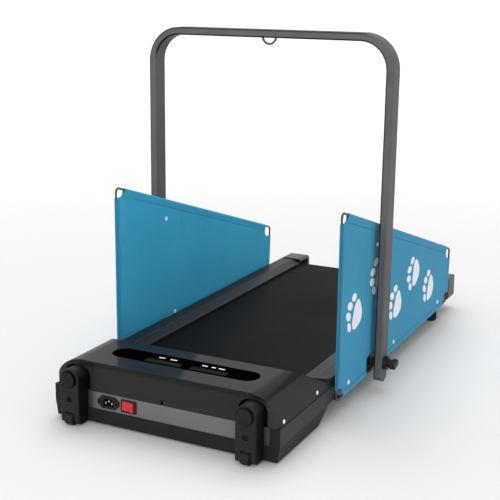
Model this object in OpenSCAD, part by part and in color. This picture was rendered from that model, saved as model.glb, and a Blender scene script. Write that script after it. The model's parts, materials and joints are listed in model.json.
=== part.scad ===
// Dog treadmill with a folding leash arch and two fabric side panels.
// Origin: middle of the footprint on the floor. X to the right seen from the front, Y to the rear, Z up.

/* [Arch] */
// Distance of the arch behind the front roller
arch_set = 285; // [230:1:340]
// Height of the axis of the top bar
bar_z = 754; // [600:1:850]
// Tube width along the length of the machine
tube_wide = 41; // [36:1:50]
// Tube thickness in the plane of the arch
tube_thick = 17; // [15:1:22]
// Tube wall
tube_wall = 1.5; // [1.2:0.1:2.5]
// Bend radius of the tube axis
bend_r = 67; // [50:1:90]
// Length of the legs below the fold pivot
leg_tail = 42; // [36:1:48]
// Radius of the pivot bolt
pivot_r = 4; // [3:0.5:5]
// Radial play on the pivot bolt
pivot_play = 0.05; // [0.02:0.01:0.1]
// Radius of the leash ring axis
ring_r = 15.5; // [11:0.5:20]
// Wire radius of the leash ring
wire_r = 2.4; // [1.6:0.1:3]
// Lean of the knob wings
knob_lean = 75; // [0:5:90]

/* [Panels] */
// Height of the panels at the front
panel_tall = 394.5; // [330:0.5:430]
// Height of the panels at the rear
panel_tail = 144.5; // [120:0.5:180]
// Lean of the rear edge of the panels
panel_lean = 7; // [0:1:12]
// Rod radius
rod_r = 2.3; // [2:0.1:3]
// Bend radius of the rod axis
rod_bend = 9; // [8:1:12]
// Fabric thickness
cloth = 2.4; // [1.6:0.2:3]
// Length of the corner cut-outs of the fabric
cut_long = 35; // [30:1:40]
// Height of the corner cut-outs of the fabric
cut_tall = 26; // [22:1:32]

/* [Deck] */
// Half the width of the running belt
belt_half = 196; // [165:1:235]
// Belt thickness
belt_thick = 1.6; // [1.2:0.1:2.5]
// Distance between the axes of the rollers
deck_long = 923; // [770:1:1080]
// Roller radius
roller_r = 20; // [17:0.5:23]
// Axle radius of the rollers
axle_r = 8; // [6.5:0.5:9]
// Radial play of the rollers on their axles
axle_play = 0.05; // [0.02:0.01:0.1]
// Deck board thickness
deck_thick = 16; // [14:1:18]
// Width of the side tubes
tube_broad = 32; // [28:1:38]
// How far the foot rails reach over the belt
rail_lap = 6; // [3:0.5:8]
// Height of the foot rails above the side tubes
rail_tall = 12; // [10:0.5:14]

/* [Hood] */
// Height of the hood above its joint with the tray
hood_tall = 61; // [55:1:70]
// Length of the flat top
flat_long = 140; // [120:1:160]
// Shoulder radius of the hood
shoulder_r = 62; // [52:1:70]
// Wall of the hood and the tray
wall = 3; // [2.5:0.1:3.5]
// How far the tray stands out past the hood
tray_lip = 2; // [1.5:0.5:4]
// Height of the tray floor
tray_low = 4; // [3:0.5:6]
// Length of the display lens
lens_long = 328; // [280:2:340]
// Width of the display lens
lens_wide = 53; // [46:1:60]

/* [Front legs] */
// Distance of each leg axis from the side of the hood
leg_set = 54; // [48:1:62]
// Width of each leg
leg_wide = 44; // [38:1:48]
// How far the legs stand out in front of the hood
leg_deep = 30; // [26:1:36]
// Thickness of the stand pads
pad_deep = 8; // [6:0.5:10]
// Wheel radius
wheel_r = 13; // [11:0.5:15]
// Wheel width
wheel_wide = 18; // [15:1:20]
// Radius of the wheel axle pins
pin_r = 3; // [2.5:0.5:3.5]
// Radial play of the wheels on their pins
pin_play = 0.05; // [0.02:0.01:0.1]

/* [Drive] */
// Motor radius
motor_r = 40; // [34:1:46]
// Motor pulley radius
small_pulley_r = 16; // [13:1:19]
// Roller pulley radius
large_pulley_r = 32; // [28:1:37]
// Drive belt thickness
drive_thick = 3; // [2:0.5:4]

/* [Hidden] */
$fn = 64;

// thin stock and running gaps
steel = 2.5;
belt_gap = 0.35;
plate_t = 1.6;
drive_w = 10;
cross_deep = 17;
cross_half = 20;
cushion_tall = 5.4;

// widths, from the belt outward
roller_half = belt_half + 2;
drive_x = roller_half + 7;
tube_in = belt_half + 16;
tube_out = tube_in + tube_broad;
bolt_x = (tube_in + tube_out) / 2;
arm_in = tube_out - 14;
rail_in = belt_half - rail_lap;
rail_out = tube_out + 6;
cap_in = belt_half - 6;
cap_out = tube_out + 4;
hood_half = tube_out + 5;
tray_half = hood_half + tray_lip;
plate_half = tube_out - 6;
leg_x = hood_half - leg_set;
inlet_x = 71 - leg_x;
switch_x = inlet_x + 47;
panel_x = rail_out + 10.6;
arch_x = panel_x + 11.2 + tube_thick / 2;
leg_in = arch_x - tube_thick / 2;
leg_out = arch_x + tube_thick / 2;

motor_right = drive_x - 45;
motor_left = motor_right - 130;

// heights, from the tray upward
roller_z = tray_low + wall + 11.05 + large_pulley_r + 3;
motor_z = tray_low + wall + 13 + motor_r;
deck_top = roller_z + roller_r + belt_gap;
deck_low = deck_top - deck_thick;
cross_z = deck_low - cushion_tall;
belt_top = deck_top + belt_thick;
belt_low = roller_z - roller_r - belt_gap - belt_thick;
tube_high = belt_top + 1;
tube_low = roller_z - axle_r - 5.05;
arm_top = tube_low + 18;
pivot_z = (tube_low + tube_high) / 2 + 3;
leg_low = pivot_z - leg_tail;
rail_top = tube_high + rail_tall;
cap_top = rail_top + 3;
cap_low = belt_low - 0.1;
joint_z = tube_high - 7;
strip_low = joint_z - 37;
strip_z = (strip_low + joint_z) / 2;
fork_z = joint_z - 14;
hood_top = joint_z + hood_tall;
bumper_z = hood_top - 34;
pad_z = bumper_z + 1.5;
screw_z = [joint_z + 9, joint_z + 11];
panel_foot = tube_low - 3;
panel_heel = tube_low + 8;
panel_high = panel_foot + panel_tall;
panel_low = panel_heel + panel_tail;
plug_top = leg_low + 16;
ring_z = bar_z - tube_thick / 2;

// places along the length, from the stand pads to the rear caps
motor_long = 2 * motor_r + 32;
drive_long = cross_deep + large_pulley_r + 6;
whole_long = pad_deep + leg_deep + motor_long + drive_long + deck_long + roller_r + 32;
pad_front = -whole_long / 2;
leg_front = pad_front + pad_deep;
hood_front = leg_front + leg_deep;
motor_y = hood_front + 30 + motor_r;
cross_front = hood_front + motor_long;
front_roller_y = cross_front + drive_long;
rear_roller_y = front_roller_y + deck_long;
cap_front = rear_roller_y - 12;
cap_rear = rear_roller_y + roller_r + 32;
tube_front = hood_front + 37;
tube_rear = rear_roller_y + axle_r + 6;
cross_y = [front_roller_y + 85, (front_roller_y + rear_roller_y) / 2, rear_roller_y - 88];
hood_rear = hood_front + flat_long;
hood_lip = front_roller_y + 62.5;
hood_end = front_roller_y + 92;
screw_y = [hood_front + 22, front_roller_y + 10];
rail_front = front_roller_y + 64;
skirt_front = front_roller_y + 93;
lens_y = hood_front + 76;
plate_y = hood_front + wall;
plate_back = plate_y + plate_t;
pocket_back = hood_front + 25;
wheel_y = leg_front + 6;
board_y = hood_front + 42;
arch_y = front_roller_y + arch_set;
panel_front = front_roller_y + 76;
panel_rear_low = rear_roller_y - 78;
panel_rear = panel_rear_low + panel_lean;

// smaller features
soft = 3;
tube_soft = 3;
cut_soft = 20;
bevel = 28;
bevel_drop = 7;
notch = [-38, 29];
pocket_half = leg_wide / 2 + 8;
pocket_top = bumper_z + leg_wide / 2 + 0.6;
pad_r = leg_wide / 2 - 5;
slot_half = wheel_wide / 2 + 1.5;
slot_top = 2 * wheel_r + 1.5;
slot_back = wheel_y + wheel_r + 4;
lens_x = 6;
window_x = [-35, 67];
window_long = 80;
board_x = 25 - leg_x;
seat_x = hood_half - 1.8;
bracket_face = panel_x - rod_r - 0.3;
boss_r = 11.5;
snap_r = 5;
shaft_r = 6;
hub_r = 18;
hub_long = 6;
board_long = 140;

// corners of the rod axis, counter-clockwise in Y and Z
rods = [[panel_front + rod_r, panel_foot + rod_r], [panel_rear_low - rod_r, panel_heel + rod_r],
    [panel_rear - rod_r, panel_low - rod_r], [panel_front + rod_r, panel_high - rod_r]];

function unit(v) = v / norm(v);
function low_rod(y) = rods[0][1] + (rods[1][1] - rods[0][1]) * (y - rods[0][0]) / (rods[1][0] - rods[0][0]);
function by_rod(y, h) = [y, low_rod(y) + h];

snaps = [by_rod(panel_front + 65, 20), [arch_y + 37, pivot_z + 24], by_rod(arch_y + 138, 18),
    by_rod(panel_rear_low - 81, 18), [arch_y, panel_foot + 0.722 * panel_tall]];
clip_half = 4;
clip_in = (cut_long + rod_bend) / 2 - 1.5;
clip_y = [rods[0][0] + clip_in, rods[1][0] - clip_in];

// outline with round ends, l by w overall
module stadium(l, w) {
    square([l - w, w], center = true);
    for (s = [-1, 1]) translate([s * (l - w) / 2, 0]) circle(d = w);
}

// rectangle from a to b with corners of radius r
module soft_box(a, b, r) {
    translate([a[0] + r, a[1]]) square([b[0] - a[0] - 2 * r, b[1] - a[1]]);
    translate([a[0], a[1] + r]) square([b[0] - a[0], b[1] - a[1] - 2 * r]);
    for (x = [a[0] + r, b[0] - r], y = [a[1] + r, b[1] - r]) translate([x, y]) circle(r);
}

// box between two corners
module block(a, b) {
    translate(a) cube(b - a);
}

// turns a child drawn in Y and Z so that its height runs along X from x
module yz(x) {
    translate([x, 0, 0]) rotate([90, 0, 90]) children();
}

// draws an outline in Y and Z through X from x0 to x1
module along_x(x0, x1) {
    yz(x0) linear_extrude(x1 - x0) children();
}

// draws an outline in X and Z through Y from y0 to y1
module along_y(y0, y1) {
    translate([0, y1, 0]) rotate([90, 0, 0]) linear_extrude(y1 - y0) children();
}

// round bar along X
module bar_x(x0, x1, y, z, r) {
    translate([x0, y, z]) rotate([0, 90, 0]) cylinder(r = r, h = x1 - x0);
}

// round bar along Y
module bar_y(y0, y1, x, z, r) {
    translate([x, y1, z]) rotate([90, 0, 0]) cylinder(r = r, h = y1 - y0);
}

// children once on each side
module both() {
    children();
    mirror([1, 0, 0]) children();
}

module side_tube() {
    difference() {
        union() {
            block([tube_in, tube_front, tube_low], [tube_out, tube_rear, tube_high]);
            block([arm_in, plate_back, tube_low], [tube_out, tube_front + 10, arm_top]);
            intersection() {
                block([hood_half - 16, screw_y[1] - 8, tube_high - 1],
                    [hood_half, screw_y[1] + 8, screw_z[1] + 8]);
                hood_form(wall);
            }
        }
        block([tube_in + steel, tube_front - 1, tube_low + steel],
            [tube_out - steel, tube_rear - steel, tube_high - steel]);
        block([arm_in + steel, plate_back + steel, tube_low + steel],
            [tube_out - steel, tube_front + 11, arm_top - steel]);
        bar_x(tube_in - 1, tube_in + steel + 1, front_roller_y, roller_z, axle_r);
        along_x(tube_in - 1, tube_in + steel + 1) translate([rear_roller_y, roller_z])
            stadium(2 * axle_r + 14, 2 * axle_r);
        bar_y(tube_rear - steel - 1, tube_rear + 1, bolt_x, roller_z, 4);
        bar_x(tube_out - steel - 1, tube_out + 1, arch_y, pivot_z, pivot_r);
        bar_x(hood_half - 20, hood_half, screw_y[1], screw_z[1], 2);
    }
}

module right_side_tube() color([0.1, 0.1, 0.11]) side_tube();

module left_side_tube() color([0.1, 0.1, 0.11]) mirror([1, 0, 0]) side_tube();

module cross_members() color([0.1, 0.1, 0.11]) {
    for (y = cross_y) difference() {
        block([-tube_in, y - cross_half, tube_low], [tube_in, y + cross_half, cross_z]);
        block([-tube_in - 1, y - cross_half + steel, tube_low + steel],
            [tube_in + 1, y + cross_half - steel, cross_z - steel]);
    }
    difference() {
        block([-tube_in, cross_front, tube_low], [tube_in, cross_front + cross_deep, arm_top]);
        block([-tube_in - 1, cross_front + steel, tube_low + steel],
            [tube_in + 1, cross_front + cross_deep - steel, arm_top - steel]);
    }
}

module deck_board() color([0.55, 0.42, 0.28])
    block([-belt_half - 9, front_roller_y + roller_r + 20, deck_low],
        [belt_half + 9, rear_roller_y - roller_r - 14, deck_top]);

module deck_cushions() color([0.06, 0.06, 0.06])
    for (s = [-1, 1], y = cross_y) translate([s * (belt_half - 26), y, cross_z])
        cylinder(d = 26, h = cushion_tall);

// loop of the running belt in Y and Z, at a distance g from the rollers
module belt_loop(g) {
    translate([(front_roller_y + rear_roller_y) / 2, roller_z])
        stadium(rear_roller_y - front_roller_y + 2 * (roller_r + g), 2 * (roller_r + g));
}

module running_belt() color([0.14, 0.14, 0.15]) along_x(-belt_half, belt_half) difference() {
    belt_loop(belt_gap + belt_thick);
    belt_loop(belt_gap);
}

module roller(y, r_hole) {
    difference() {
        bar_x(-roller_half, roller_half, y, roller_z, roller_r);
        bar_x(-roller_half - 1, roller_half + 1, y, roller_z, r_hole);
        bar_x(-roller_half + 22, roller_half - 22, y, roller_z, roller_r - 3);
        for (s = [-1, 1]) bar_x(s * roller_half - 3, s * roller_half + 3, y, roller_z, roller_r - 4);
    }
}

module front_roller() color([0.6, 0.6, 0.62]) roller(front_roller_y, axle_r + axle_play);

module rear_roller() color([0.6, 0.6, 0.62]) roller(rear_roller_y, axle_r + axle_play);

// belt pulley of radius r with a flange on each side
module pulley(y, z, r) {
    h = drive_w / 2;
    bar_x(drive_x - h - 1, drive_x - h, y, z, r + 3);
    bar_x(drive_x - h, drive_x + h, y, z, r);
    bar_x(drive_x + h, drive_x + h + 1, y, z, r + 3);
}

module drive_pulley() color([0.35, 0.35, 0.36]) difference() {
    union() {
        bar_x(roller_half - 3, roller_half + 2, front_roller_y, roller_z, roller_r - 4);
        pulley(front_roller_y, roller_z, large_pulley_r);
    }
    bar_x(roller_half - 9, tube_in, front_roller_y, roller_z, axle_r + axle_play);
    for (a = [0:60:300]) bar_x(roller_half + 2, tube_in,
        front_roller_y + (large_pulley_r - 10) * cos(a), roller_z + (large_pulley_r - 10) * sin(a), 6);
}

module front_axle() color([0.7, 0.7, 0.72])
    bar_x(-tube_in - 14, tube_in + 14, front_roller_y, roller_z, axle_r);

module rear_axle() color([0.7, 0.7, 0.72]) difference() {
    bar_x(-tube_in - 24, tube_in + 24, rear_roller_y, roller_z, axle_r);
    for (x = [-bolt_x, bolt_x]) bar_y(rear_roller_y - 20, rear_roller_y + 20, x, roller_z, 4.02);
}

module tension_bolts() color([0.62, 0.62, 0.64]) for (x = [-bolt_x, bolt_x]) {
    bar_y(rear_roller_y - 22, tube_rear, x, roller_z, 4);
    difference() {
        bar_y(tube_rear, tube_rear + 8, x, roller_z, 6.5);
        translate([x, tube_rear + 9, roller_z]) rotate([90, 0, 0]) cylinder(r = 3.4, h = 5, $fn = 6);
    }
}

module rail() {
    difference() {
        intersection() {
            union() {
                translate([0, 0, tube_high]) linear_extrude(rail_tall) rail_plan();
                block([rail_out - 3, skirt_front, tube_high - 18], [rail_out, cap_front, tube_high + 1]);
            }
            along_y(rail_front - 5, cap_front + 5) rail_across();
        }
        along_y(skirt_front, cap_front - 3) polygon([[rail_in + 3, tube_high - 1],
            [rail_in + 3, rail_top - bevel_drop - 3],
            [tube_in - 2, rail_top - bevel_drop - 3 + (tube_in - rail_in - 5) * bevel_drop / bevel],
            [tube_in - 2, tube_high - 1]]);
        block([tube_in + 2, skirt_front, tube_high - 1], [tube_out - 2, cap_front - 3, rail_top - 3]);
        block([rail_out - 4, arch_y - 30, tube_low], [rail_out + 1, arch_y + 30, tube_high]);
        for (y = clip_y) block([rail_out - 4, y - 11, tube_low], [rail_out + 1, y + 11, tube_high - 10]);
    }
}

// rail across, its inner edge bevelled toward the belt and its outer edge rounded
module rail_across() {
    polygon([[rail_in, tube_low - 9], [rail_out, tube_low - 9], [rail_out, rail_top - soft],
        [rail_out - soft, rail_top], [rail_in + bevel, rail_top], [rail_in, rail_top - bevel_drop]]);
    translate([rail_out - soft, rail_top - soft]) circle(soft);
}

// rail seen from above, the front outer corner rounded
module rail_plan() {
    r = 24;
    translate([rail_in, rail_front + r]) square([rail_out - rail_in, cap_front - rail_front - r]);
    translate([rail_in, rail_front]) square([rail_out - rail_in - r, 40]);
    translate([rail_out - r, rail_front + r]) circle(r);
}

module right_rail() color([0.2, 0.2, 0.21]) rail();

module left_rail() color([0.2, 0.2, 0.21]) mirror([1, 0, 0]) rail();

// end cap seen from the side, i is the inset of the hollow
module cap_side(i) {
    r = 12 - i;
    y0 = cap_front - i;
    y1 = cap_rear - i;
    z0 = cap_low + i;
    z1 = cap_top - i;
    translate([y0, z0]) square([y1 - r - y0, z1 - z0]);
    translate([y0, z0 + r]) square([y1 - y0, z1 - z0 - 2 * r]);
    for (z = [z0 + r, z1 - r]) translate([y1 - r, z]) circle(r);
}

// end cap seen from above, its rear outer corner rounded, i is the inset of the hollow
module cap_plan(i) {
    r = 11 - i;
    x1 = cap_out - i;
    y1 = cap_rear - i;
    translate([cap_in - 1, cap_front - 5]) square([x1 - r - cap_in + 1, y1 - cap_front + 5]);
    translate([cap_in - 1, cap_front - 5]) square([x1 - cap_in + 1, y1 - r - cap_front + 5]);
    translate([x1 - r, y1 - r]) circle(r);
}

// hollow box with round edges, open to the front, and a mouth for the belt in its inner wall
module end_cap() {
    difference() {
        intersection() {
            along_x(cap_in, cap_out) cap_side(0);
            along_y(cap_front - 1, cap_rear + 1) soft_box([cap_in, cap_low], [cap_out, cap_top], 7);
            translate([0, 0, cap_low - 1]) linear_extrude(cap_top - cap_low + 2) cap_plan(0);
        }
        intersection() {
            along_x(cap_in + wall, cap_out - wall) cap_side(wall);
            along_y(cap_front - wall, cap_rear) soft_box([cap_in + wall, cap_low + wall],
                [cap_out - wall, cap_top - wall], 4);
            translate([0, 0, cap_low - 1]) linear_extrude(cap_top - cap_low + 2) cap_plan(wall);
        }
        along_x(cap_in - 1, belt_half + 4) soft_box([cap_front - 30, cap_low - 30],
            [cap_rear - 10, cap_top - 7], 10);
        bar_y(cap_rear - 10, cap_rear + 1, bolt_x, roller_z, 8);
    }
}

module right_end_cap() color([0.3, 0.3, 0.31]) end_cap();

module left_end_cap() color([0.3, 0.3, 0.31]) mirror([1, 0, 0]) end_cap();

module rear_feet() color([0.05, 0.05, 0.05]) both() translate([bolt_x, rear_roller_y - 103, 0]) {
    cylinder(r1 = 15, r2 = 17, h = 3);
    translate([0, 0, 3]) cylinder(r1 = 17, r2 = 15, h = tube_low - 3);
}

module front_feet() color([0.05, 0.05, 0.05]) both() translate([leg_x - 75, hood_front + 32, 0])
    cylinder(r1 = 11, r2 = 13, h = tray_low);

// tray across, i is the inset of the hollow
module tray_across(i) {
    w = tray_half - i;
    polygon([[5 - w, tray_low + i], [w - 5, tray_low + i], [w, strip_low + 3], [w, joint_z + i],
        [-w, joint_z + i], [-w, strip_low + 3]]);
}

// tray seen from the side, i is the inset of the hollow
module tray_side(i) {
    polygon([[hood_front + i, tray_low + i], [front_roller_y + 25 - i, tray_low + i],
        [front_roller_y + 62 - i, tube_low - wall + i], [hood_end + i, tube_low - wall + i],
        [hood_end + i, joint_z + i], [hood_front + i, joint_z + i]]);
}

module tray_shell(i) {
    intersection() {
        along_y(hood_front - 10, hood_end + 13) tray_across(i);
        along_x(-tray_half, tray_half) tray_side(i);
    }
}

module bottom_tray() color([0.24, 0.24, 0.25]) difference() {
    union() {
        difference() {
            tray_shell(0);
            tray_shell(wall);
            block([9 - plate_half, hood_front - 1, strip_low], [plate_half - 9, plate_y, joint_z + 1]);
        }
        both() {
            intersection() {
                block([hood_half - 16, screw_y[0] - 8, arm_top + 1],
                    [hood_half, screw_y[0] + 8, screw_z[0] + 8]);
                hood_form(wall);
            }
            block([hood_half - 16, screw_y[0] - 8, arm_top + 1], [tray_half - 1, screw_y[0] + 8, joint_z]);
        }
    }
    both() {
        block([leg_x - leg_wide / 2 - 0.4, hood_front - 1, tray_low + 4.5],
            [leg_x + leg_wide / 2 + 0.4, plate_y + 1, strip_low]);
        bar_x(hood_half - 20, hood_half, screw_y[0], screw_z[0], 2);
    }
    block([-belt_half - 6, front_roller_y - large_pulley_r - 3, belt_low - 3.1],
        [belt_half + 6, hood_end + 13, joint_z + 1]);
}

// hood across, i is the inset of the hollow
module hood_across(i) {
    r = shoulder_r - i;
    w = hood_half - i;
    t = hood_top - i;
    translate([-w, joint_z - 60]) square([2 * w, t - r - joint_z + 60]);
    translate([-w + r, joint_z - i]) square([2 * (w - r), t - joint_z + i]);
    for (s = [-1, 1]) translate([s * (w - r), t - r]) circle(r);
}

// hood seen from the side, i is the inset of the hollow
module hood_side(i) {
    r = 2.5;
    f = hood_front + i;
    t = hood_top - i;
    e = tube_high + 8;
    polygon([[f, joint_z - i], [f, t - r], [f + r, t], [hood_rear - i * 0.2, t],
        [hood_lip - 3.5 - i * 1.5, e - i * 0.3], [hood_lip - i, e - i], [hood_lip - i, tube_high - 0.3 - i],
        [hood_end + i, tube_high - 0.3 - i], [hood_end + i, joint_z - i]]);
    translate([f + r, t - r]) circle(r);
}

// hood from above, i is the inset of the hollow
module hood_above(i) {
    w = hood_half - i;
    translate([-w, hood_front + i]) soft_front(2 * w, hood_end - hood_front + 41, 16 - i);
}

// rectangle with two round front corners
module soft_front(w, l, r) {
    translate([0, r]) square([w, l - r]);
    translate([r, 0]) square([w - 2 * r, l]);
    for (x = [r, w - r]) translate([x, r]) circle(r);
}

module hood_form(i) {
    intersection() {
        along_y(hood_front - 10, hood_end + 13) hood_across(i);
        along_x(-hood_half, hood_half) hood_side(i);
        translate([0, 0, joint_z - 20]) linear_extrude(hood_tall + 39) hood_above(i);
    }
}

// opening of a leg pocket in X and Z, grown by g
module pocket(g) {
    soft_box([leg_x - pocket_half - g, joint_z - 60], [leg_x + pocket_half + g, pocket_top + g],
        leg_wide / 2 + g);
}

module motor_hood() color([0.2, 0.2, 0.21]) difference() {
    union() {
        difference() {
            hood_form(0);
            hood_form(wall);
        }
        intersection() {
            hood_form(0);
            both() along_y(hood_front, pocket_back + 3) pocket(3);
        }
        for (x = [-125, 125], y = [-16, 16]) translate([x, lens_y + y, hood_top - 7]) cylinder(d = 7, h = 5);
    }
    both() along_y(hood_front - 1, pocket_back) pocket(0);
    both() for (i = [0, 1]) {
        bar_x(hood_half - 12, hood_half + 1, screw_y[i], screw_z[i], 2);
        bar_x(seat_x, hood_half + 1, screw_y[i], screw_z[i], 4.6);
    }
    translate([lens_x, lens_y, hood_top - 1.6]) linear_extrude(3) stadium(lens_long, lens_wide);
    for (x = window_x) translate([x, lens_y, hood_top - 6]) linear_extrude(6)
        square([window_long, 20], center = true);
    block([-2, hood_front - 1, joint_z - 1], [2, hood_front + 2.2, joint_z + 10]);
    block([8 - tube_in, front_roller_y - roller_r, joint_z - 1],
        [tube_in - 8, hood_end + 13, belt_top + 2.5]);
    both() block([tube_in - 9, tube_front - 1, joint_z - 1], [tube_out + 1, hood_end + 13, tube_high]);
}

module front_plate() color([0.37, 0.37, 0.38]) difference() {
    along_y(plate_y, plate_back) soft_box([-plate_half, strip_low - 4], [plate_half, joint_z], 3);
    along_y(plate_y - 1, plate_back + 1) translate([inlet_x, strip_z]) square([28, 21], center = true);
    along_y(plate_y - 1, plate_back + 1) translate([switch_x, strip_z]) square([32, 22.6], center = true);
    both() bar_y(plate_y - 1, plate_back + 1, leg_x, fork_z, 2.5);
}

module display_lens() color([0.01, 0.01, 0.012]) translate([lens_x, lens_y, hood_top - 1.6])
    linear_extrude(1.8) stadium(lens_long - 0.4, lens_wide - 0.4);

module display_board() color([0.05, 0.25, 0.1]) {
    difference() {
        translate([0, lens_y, hood_top - 8.6]) linear_extrude(1.6) square([270, 40], center = true);
        for (x = [-125, 125], y = [-16, 16]) translate([x, lens_y + y, hood_top - 9]) cylinder(d = 3, h = 3);
    }
    for (x = window_x) translate([x, lens_y, hood_top - 7]) linear_extrude(4.8)
        square([window_long - 2, 18], center = true);
}

module motor_body() color([0.12, 0.12, 0.13]) difference() {
    union() {
        bar_x(motor_left, motor_right, motor_y, motor_z, motor_r);
        bar_x(motor_left - hub_long, motor_right + hub_long, motor_y, motor_z, hub_r);
    }
    bar_x(motor_left - hub_long - 4, motor_right + hub_long + 4, motor_y, motor_z, shaft_r + axle_play);
    for (a = [20:40:340]) bar_x(motor_right - 4, motor_right + 1,
        motor_y + (motor_r - 11) * cos(a), motor_z + (motor_r - 11) * sin(a), 6);
}

module motor_bracket() color([0.45, 0.45, 0.46]) difference() {
    x0 = motor_left + 14;
    x1 = motor_right - 14;
    y = cross_front + cross_deep - 1;
    z = tray_low + wall + 4;
    union() {
        block([x0, motor_y - motor_r + 4, z], [x1, y, z + 4]);
        block([x0, y - 4, z], [x1, y, tube_low]);
        for (x = [x0 + 8, x1 - 14]) block([x, motor_y - motor_r + 10, z + 3],
            [x + 6, motor_y + motor_r - 10, motor_z - 18]);
    }
    bar_x(motor_left + 10, motor_right, motor_y, motor_z, motor_r);
}

module motor_rotor() color([0.5, 0.5, 0.52]) {
    bar_x(motor_left - hub_long - 2, drive_x + drive_w / 2 + 1, motor_y, motor_z, shaft_r);
    bar_x(motor_right + 14, motor_right + 26, motor_y, motor_z, motor_r - 8);
    pulley(motor_y, motor_z, small_pulley_r);
}

// loop around both pulleys in Y and Z, at a distance g from them
module drive_loop(g) {
    a = [motor_y, motor_z];
    b = [front_roller_y, roller_z];
    turn = atan2(b[1] - a[1], b[0] - a[0]);
    lean = acos((small_pulley_r - large_pulley_r) / norm(b - a));
    up = [cos(turn + lean), sin(turn + lean)];
    down = [cos(turn - lean), sin(turn - lean)];
    s = small_pulley_r + g - 0.05;
    l = large_pulley_r + g - 0.05;
    polygon([a + up * s, a + down * s, b + down * l, b + up * l]);
    translate(a) circle(small_pulley_r + g);
    translate(b) circle(large_pulley_r + g);
}

module drive_belt() color([0.05, 0.05, 0.05])
    along_x(drive_x - drive_w / 2 + 0.5, drive_x + drive_w / 2 - 0.5) difference() {
        drive_loop(0.35 + drive_thick);
        drive_loop(0.35);
    }

module control_board() color([0.05, 0.25, 0.1]) {
    z = tray_low + 16;
    low = tray_low + wall;
    block([board_x, board_y, z - 2], [board_x + board_long, cross_front + 15, z]);
    for (x = [6, board_long - 6], y = [board_y + 6, cross_front]) translate([board_x + x, y, low])
        cylinder(d = 7, h = z - 2 - low);
    for (x = [34, 12]) translate([board_x + board_long - x, board_y + 30, z]) cylinder(d = 18, h = 30);
    block([board_x + 8, board_y + 5, z], [board_x + 30, board_y + 40, z + 18]);
}

module heat_sink() color([0.6, 0.6, 0.62]) translate([board_x + 40, board_y + 10, tray_low + 16]) {
    long = cross_front - board_y - 14;
    cube([50, long, 5]);
    for (i = [0:6]) translate([i * 7.9, 0, 4]) cube([2.4, long, 22]);
}

// flange outline of the power inlet
module inlet_flange() {
    polygon([[-25, -4], [-15, -13], [15, -13], [25, -4], [25, 4], [15, 13], [-15, 13], [-25, 4]]);
}

module power_inlet() color([0.04, 0.04, 0.04]) difference() {
    union() {
        along_y(plate_y - 3, plate_y) translate([inlet_x, strip_z]) inlet_flange();
        along_y(plate_y - 1, plate_y + 22) translate([inlet_x, strip_z]) square([28, 21], center = true);
    }
    along_y(plate_y - 4, plate_y + 14) translate([inlet_x, strip_z])
        polygon([[-12, -8], [12, -8], [12, 3.5], [7.5, 8], [-7.5, 8], [-12, 3.5]]);
    for (p = [[-7, -2], [7, -2], [0, 2]]) along_y(plate_y + 13, plate_y + 23)
        translate([inlet_x + p[0], strip_z + p[1]]) square([2, 4], center = true);
    for (x = [-20, 20]) bar_y(plate_y - 4, plate_y - 1.2, inlet_x + x, strip_z, 2.2);
}

module inlet_pins() color([0.75, 0.75, 0.72]) for (p = [[-7, -2], [7, -2], [0, 2]])
    along_y(plate_y, plate_y + 28) translate([inlet_x + p[0], strip_z + p[1]]) square([2, 4], center = true);

module switch_bezel() color([0.04, 0.04, 0.04]) difference() {
    union() {
        along_y(plate_y - 2.5, plate_y) translate([switch_x, strip_z])
            soft_box([-17.5, -13], [17.5, 13], 2);
        along_y(plate_y - 1, plate_y + 22) translate([switch_x, strip_z]) square([32, 22.6], center = true);
    }
    along_y(plate_y - 4, plate_y + 17) translate([switch_x, strip_z]) square([29.4, 20], center = true);
    translate([switch_x, plate_y + 5, strip_z - 11]) cylinder(r = 1.55, h = 22);
}

module switch_rocker() color([0.85, 0.08, 0.1])
    translate([switch_x, plate_y + 5, strip_z]) rotate([0, 0, -7]) {
        translate([0, 0, -9.5]) linear_extrude(19)
            polygon([[-13.3, 3], [-13.3, -9.5], [0, -7.6], [13.3, -9.5], [13.3, 3], [5, 5], [-5, 5]]);
        translate([0, 0, -10.7]) cylinder(r = 1.5, h = 21.4);
    }

module hood_screws() color([0.85, 0.85, 0.85]) both() for (i = [0, 1]) {
    bar_x(seat_x, seat_x + 2.2, screw_y[i], screw_z[i], 4);
    bar_x(hood_half - 14, seat_x + 1, screw_y[i], screw_z[i], 2);
}

// block with round front edges and a round top, its edges soft all round
module bumper() {
    long = pocket_back - leg_front;
    w = leg_wide / 2;
    translate([leg_x - w, leg_front, joint_z]) linear_extrude(bumper_z - joint_z)
        soft_front(leg_wide, long, soft);
    translate([leg_x, pocket_back, bumper_z]) rotate([90, 0, 0]) rotate_extrude(angle = 180) {
        square([w - soft, long]);
        square([w, long - soft]);
        translate([w - soft, long - soft]) circle(soft);
    }
}

module right_bumper() color([0.19, 0.19, 0.2]) bumper();

module left_bumper() color([0.19, 0.19, 0.2]) mirror([1, 0, 0]) bumper();

module stand_pads() color([0.17, 0.17, 0.18])
    both() translate([leg_x, leg_front, pad_z]) rotate([90, 0, 0]) {
        cylinder(r = pad_r, h = pad_deep - 1.5);
        translate([0, 0, pad_deep - 1.5]) cylinder(r1 = pad_r, r2 = pad_r - 1.5, h = 1.5);
    }

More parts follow.
